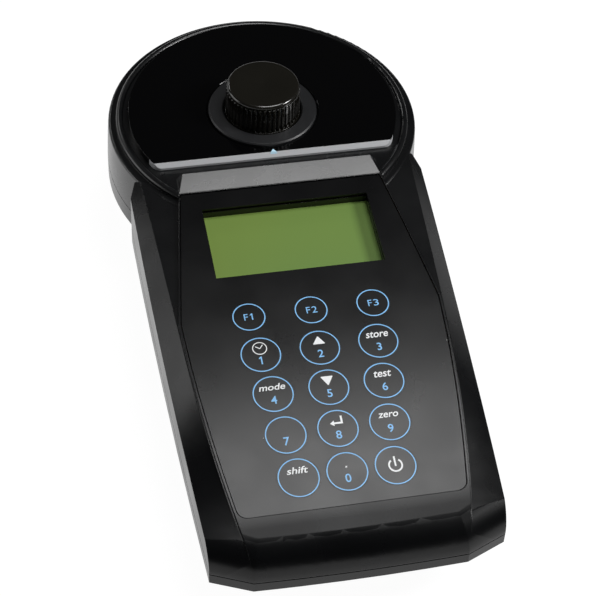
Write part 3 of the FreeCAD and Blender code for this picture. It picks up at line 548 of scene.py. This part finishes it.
def add_stroke(drawing, a, b, width):
    """Adds a straight stroke with square ends."""
    along = (Vector(b) - Vector(a)).normalized() * width / 2
    side = Vector((-along.y, along.x))
    add_prism(drawing, [Vector(a) - side, Vector(b) - side, Vector(b) + side, Vector(a) + side])


def drawn(loop):
    """Drawing of one closed outline."""
    drawing = bmesh.new()
    add_prism(drawing, loop)
    return drawing


def lettering(text, centre, height, width=None, slant=0.0, weight=0.0):
    """Drawing of a word, one unit thick, fitted to its height and width in millimetres."""
    curve = bpy.data.curves.new("word", "FONT")
    curve.body = text
    curve.shear = slant
    curve.offset = weight
    curve.extrude = 0.5
    curve.resolution_u = 6
    text_object = on_scene("word", curve)
    bpy.context.view_layer.update()
    mesh = bpy.data.meshes.new_from_object(text_object.evaluated_get(bpy.context.evaluated_depsgraph_get()))
    bpy.data.objects.remove(text_object)
    xs = [v.co.x for v in mesh.vertices]
    ys = [v.co.y for v in mesh.vertices]
    tall = height / (max(ys) - min(ys))
    wide = width / (max(xs) - min(xs)) if width else tall
    middle_x = (max(xs) + min(xs)) / 2
    middle_y = (max(ys) + min(ys)) / 2
    for v in mesh.vertices:
        x, y, z = v.co
        v.co = ((x - middle_x) * wide + centre[0], (y - middle_y) * tall + centre[1], z + curve.extrude)
    drawing = bmesh.new()
    drawing.from_mesh(mesh)
    bmesh.ops.remove_doubles(drawing, verts=drawing.verts, dist=1e-5)
    return drawing


def digit_one(centre, height):
    """The digit 1 with its flag, which the plain lettering lacks."""
    x, y = centre
    half = height / 2
    stem = height * 0.08
    return drawn([(x - stem, y - half), (x + stem, y - half), (x + stem, y + half), (x - stem, y + half),
                  (x - height * 0.3, y + half * 0.55), (x - height * 0.24, y + half * 0.38),
                  (x - stem, y + half * 0.64)])


def clock_face():
    drawing = bmesh.new()
    add_band(drawing, 1.98, CLOCK_LINE, 0, 360, 40, (0, 2.1))
    add_stroke(drawing, (-1.15, 2.8), (0.05, 2.0), CLOCK_LINE)
    add_stroke(drawing, (0.0, 1.95), (1.0, 3.2), CLOCK_LINE)
    return drawing


def triangle(base, apex):
    """Filled triangle with its corners taken off a little."""
    ends = [(-TRIANGLE_HALF, base), (TRIANGLE_HALF, base), (0, apex)]
    loop = []
    for i in range(3):
        corner = Vector(ends[i])
        for other in (ends[i - 1], ends[(i + 1) % 3]):
            loop.append(corner + (Vector(other) - corner).normalized() * TRIANGLE_BLUNT)
    if apex < base:
        loop.reverse()
    return drawn(loop)


def enter_arrow():
    return drawn([(1.15, 3.8), (1.15, 1.92), (-0.75, 1.92), (-0.75, 2.5), (-1.95, 1.62),
                  (-0.75, 0.78), (-0.75, 1.36), (1.7, 1.36), (1.7, 3.8)])


def power_symbol():
    drawing = bmesh.new()
    add_band(drawing, 1.8, POWER_LINE, 125, 415, 36)
    add_stroke(drawing, (0, -0.3), (0, 2.65), POWER_LINE)
    return drawing


def word(text, width):
    """Function word in bold slanted letters, sized by its own height."""
    tall = WORD_HEIGHT if any(c in text for c in "dhft") else WORD_HEIGHT_LOW
    return lettering(text, (0, WORD_RISE), tall, width, WORD_SLANT, WORD_WEIGHT)


def decimal_point():
    return drawn([(-0.3, 1.15), (0.15, 1.15), (0.25, 1.6), (-0.2, 1.6)])


UPPER_LEGENDS = {
    "key_1": clock_face,
    "key_2": lambda: triangle(1.2, 3.95),
    "key_3": lambda: word("store", 6.5),
    "key_4": lambda: word("mode", 7.5),
    "key_5": lambda: triangle(3.55, 0.5),
    "key_6": lambda: word("test", 5.0),
    "key_8": enter_arrow,
    "key_9": lambda: word("zero", 5.75),
    "key_shift": lambda: word("shift", 6.0),
    "key_0": decimal_point,
    "key_power": power_symbol,
}


def numeral(figure, place, height, width=None, weight=0.0):
    if figure == "1":
        return digit_one(place, height)
    return lettering(figure, place, height, width, weight=weight)


def print_keys():
    """Rings, digits and words on the fifteen keys."""
    for name in sorted(frame["nodes"]):
        if not name.startswith("key_"):
            continue
        low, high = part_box(name)
        centre = (low + high) / 2 / MM
        ring = bmesh.new()
        add_band(ring, (high.x - low.x) / 2 / MM - RING_INSET, RING_LINE, 0, 360, 96)
        printed("ring_" + name, ring, centre, BLUE_INK, name)
        label = name[4:].upper()
        if label.isdigit():
            digit = numeral(label, DIGIT_PLACE, DIGIT_HEIGHT, weight=DIGIT_WEIGHT)
            printed("digit_" + name, digit, centre, BLUE_INK, name)
        elif label.startswith("F"):
            letter = lettering("F", LABEL_LETTER_PLACE, LABEL_HEIGHT, LABEL_LETTER_WIDTH)
            figure = numeral(label[1], LABEL_FIGURE_PLACE, LABEL_HEIGHT, LABEL_FIGURE_WIDTH)
            printed("letter_" + name, letter, centre, BLUE_INK, name)
            printed("figure_" + name, figure, centre, BLUE_INK, name)
        if name in UPPER_LEGENDS:
            printed("legend_" + name, UPPER_LEGENDS[name](), centre, WHITE_INK, name)


def alignment_mark():
    """Small printed triangle folded over the panel's front edge, pointing at the sample chamber."""
    low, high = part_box("head_panel")
    edge = low.y / MM + BEVEL_ACROSS
    half_at_edge = MARK_HALF * MARK_APEX / (MARK_APEX + MARK_FOOT)
    drawing = bmesh.new()
    rows = []
    for lift in MARK_LIFTS:
        top = high.z / MM + lift
        foot = top - MARK_FOOT * BEVEL_DOWN / BEVEL_ACROSS
        points = [(0, edge + MARK_APEX, top),
                  (-half_at_edge, edge, top), (-MARK_HALF, edge - MARK_FOOT, foot),
                  (MARK_HALF, edge - MARK_FOOT, foot), (half_at_edge, edge, top)]
        rows.append([drawing.verts.new(Vector(point) * MM) for point in points])
    bottom, top = rows
    for loop in ((0, 1, 4), (1, 2, 3, 4)):
        drawing.faces.new([top[i] for i in loop])
        drawing.faces.new([bottom[i] for i in reversed(loop)])
    for i in range(5):
        j = (i + 1) % 5
        drawing.faces.new((bottom[i], bottom[j], top[j], top[i]))
    piece_of("alignment_mark", drawing, PALE_INK, "casing")


def crest_radius(z):
    """Radius of the cap's leaning side at a height."""
    return CAP_CREST - CAP_LEAN * (z - CAP_SKIRT_TOP) / (CAP_CREST_TOP - CAP_SKIRT_TOP)


def groove_depth(step):
    """Depth of the round grooves at one step round the cap."""
    pitch = 2 * math.pi * CAP_CREST / GROOVES
    across = ((step / GROOVE_STEPS) % 1 - 0.5) * pitch
    inside = max(0.0, GROOVE_RADIUS ** 2 - across ** 2)
    return max(0.0, math.sqrt(inside) - (GROOVE_RADIUS - GROOVE_DEPTH))


def cap_rows(bottom, top, skirt):
    """The cap's outline from ceiling to crown: radius, height and whether grooves cut it."""
    chamfer_across, chamfer_down = CAP_SKIRT_CHAMFER
    rows = [(CAP_BORE, CAP_CEILING, False),
            (CAP_BORE, bottom, False),
            (skirt, bottom, False),
            (skirt, CAP_SKIRT_TOP - chamfer_down, False),
            (skirt - chamfer_across, CAP_SKIRT_TOP, False),
            (CAP_CREST, CAP_SKIRT_TOP, False),
            (crest_radius(GROOVE_LOW), GROOVE_LOW, False)]
    easing_start = CAP_CREST_TOP - CAP_EASING_LOW
    for z in (GROOVE_LOW, *GROOVE_MIDDLE, easing_start):
        rows.append((crest_radius(z), z, True))
    easing = crest_radius(CAP_CREST_TOP) - CAP_BAND
    for turn in (30, 60, 90):
        angle = math.radians(turn)
        height = easing_start + CAP_EASING_HEIGHT * math.sin(angle)
        rows.append((CAP_BAND + easing * math.cos(angle), height, True))
    rows.append((CAP_BAND, GROOVE_TOP, True))
    rows.append((CAP_BAND, GROOVE_TOP, False))
    for turn in range(0, 91, 15):
        angle = math.radians(turn)
        radius = CAP_BAND - CAP_ROUND * (1 - math.cos(angle))
        rows.append((radius, top - CAP_ROUND * (1 - math.sin(angle)), False))
    rows.append((CAP_DISH, top, False))
    return rows


def fluted_cap():
    """Screw cap with its smooth skirt, round grooves and softly rounded crown."""
    low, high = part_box("vial_cap")
    middle = (low + high) / 2 / MM
    top = high.z / MM
    skirt = (high.x - low.x) / 2 / MM
    steps = GROOVES * GROOVE_STEPS
    drawing = bmesh.new()
    rings = []
    for radius, z, grooved in cap_rows(low.z / MM, top, skirt):
        ring = []
        for i in range(steps):
            angle = 2 * math.pi * i / steps
            r = min(radius, crest_radius(z) - groove_depth(i)) if grooved else radius
            point = Vector((middle.x + r * math.cos(angle), middle.y + r * math.sin(angle), z))
            ring.append(drawing.verts.new(point * MM))
        rings.append(ring)
    for lower, upper in zip(rings, rings[1:]):
        for i in range(steps):
            j = (i + 1) % steps
            drawing.faces.new((lower[i], lower[j], upper[j], upper[i]))
    for ring, z in ((rings[0], CAP_CEILING), (rings[-1], top - CAP_DISH_DEPTH)):
        centre = drawing.verts.new(Vector((middle.x, middle.y, z)) * MM)
        for i in range(steps):
            drawing.faces.new((ring[i], ring[(i + 1) % steps], centre))
    bmesh.ops.dissolve_degenerate(drawing, dist=1e-7, edges=drawing.edges)
    bmesh.ops.recalc_face_normals(drawing, faces=drawing.faces)
    piece = piece_of("fluted_cap", drawing, PAINTS["cap"], "cap")
    piece.data.shade_smooth()
    piece.data.set_sharp_from_angle(angle=math.radians(SHARP_ANGLE))
    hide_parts("vial_cap")


def make_camera():
    """Camera at the photograph's viewing angle."""
    azimuth, elevation, roll = (math.radians(a) for a in (CAMERA_AZIMUTH, CAMERA_ELEVATION, CAMERA_ROLL))
    back = Vector((math.sin(azimuth) * math.cos(elevation), -math.cos(azimuth) * math.cos(elevation),
                   math.sin(elevation)))
    right = Vector((math.cos(azimuth), math.sin(azimuth), 0))
    above = back.cross(right)
    turned_right = math.cos(roll) * right + math.sin(roll) * above
    turned_up = math.cos(roll) * above - math.sin(roll) * right
    turn = Matrix((turned_right, turned_up, back)).transposed().to_4x4()
    camera = on_scene("camera", bpy.data.cameras.new("camera"))
    camera.data.sensor_width = SENSOR_WIDTH
    camera.data.lens = FOCAL_PIXELS * SENSOR_WIDTH / PHOTO_WIDTH
    camera.data.clip_end = CAMERA_REACH
    camera.matrix_world = Matrix.Translation(CAMERA_PLACE) @ turn
    bpy.context.scene.camera = camera


def make_lights():
    """One softbox overhead, as the photograph's reflections show, and weaker ones round it."""
    for name, (place, target, size, radiance) in LIGHTS.items():
        data = bpy.data.lights.new(name, "AREA")
        data.shape = "RECTANGLE"
        data.size, data.size_y = size
        data.energy = radiance * size[0] * size[1] * math.pi
        lamp = on_scene(name, data)
        lamp.location = place
        lamp.rotation_euler = (Vector(target) - Vector(place)).to_track_quat("-Z", "Y").to_euler()
        lamp.visible_camera = False


def floor_paint():
    """Pale floor that cameras see as white, and mirrors too except on the right, where its glow fades as
    painted shade in the case's reflections, with the object's shadow kept.
    """
    paint = Paint("pale_floor", (0.85, 0.85, 0.85), 0.9)
    path = paint.add("ShaderNodeLightPath").outputs
    mirrored = paint.math("MAXIMUM", path["Is Transmission Ray"], path["Is Glossy Ray"])
    seen = paint.math("MAXIMUM", path["Is Camera Ray"], mirrored)
    # Painted shade: mirrors see the floor's glow fade on the right, which darkens the case's right side
    fade = paint.scaled(paint.along(0), FADE_START, FADE_END, 0.0, FADE_MOST)
    painted_reflection_shade = paint.math("MULTIPLY", path["Is Glossy Ray"], fade)
    strength = paint.math("SUBTRACT", FLOOR_GLOW, paint.math("MULTIPLY", painted_reflection_shade, FLOOR_GLOW))
    glow = paint.add("ShaderNodeEmission", inputs={"Strength": strength})
    mix = paint.add("ShaderNodeMixShader", inputs={
        0: paint.math("MULTIPLY", seen, FLOOR_GLOW_SHARE), 1: paint.shader.outputs[0], 2: glow.outputs[0]})
    paint.feed(paint.tree.nodes["Material Output"].inputs[0], mix.outputs[0])
    return paint.material


def make_floor():
    """Plain pale floor under the object."""
    mesh = bpy.data.meshes.new("floor")
    corners = [(x * FLOOR_REACH, y * FLOOR_REACH, 0) for x, y in ((-1, -1), (1, -1), (1, 1), (-1, 1))]
    mesh.from_pydata(corners, [], [(0, 1, 2, 3)])
    mesh.materials.append(floor_paint())
    on_scene("floor", mesh)


def make_world():
    """Faint even light from all round."""
    world = bpy.data.worlds.new("studio")
    world.use_nodes = True
    colour, strength = world.node_tree.nodes["Background"].inputs[:2]
    colour.default_value = (1, 1, 1, 1)
    strength.default_value = WORLD_STRENGTH
    bpy.context.scene.world = world


make_camera()
make_world()
make_lights()
make_floor()
dress_nodes()
print_keys()
alignment_mark()
fluted_cap()
bpy.context.scene.view_settings.view_transform = "Standard"
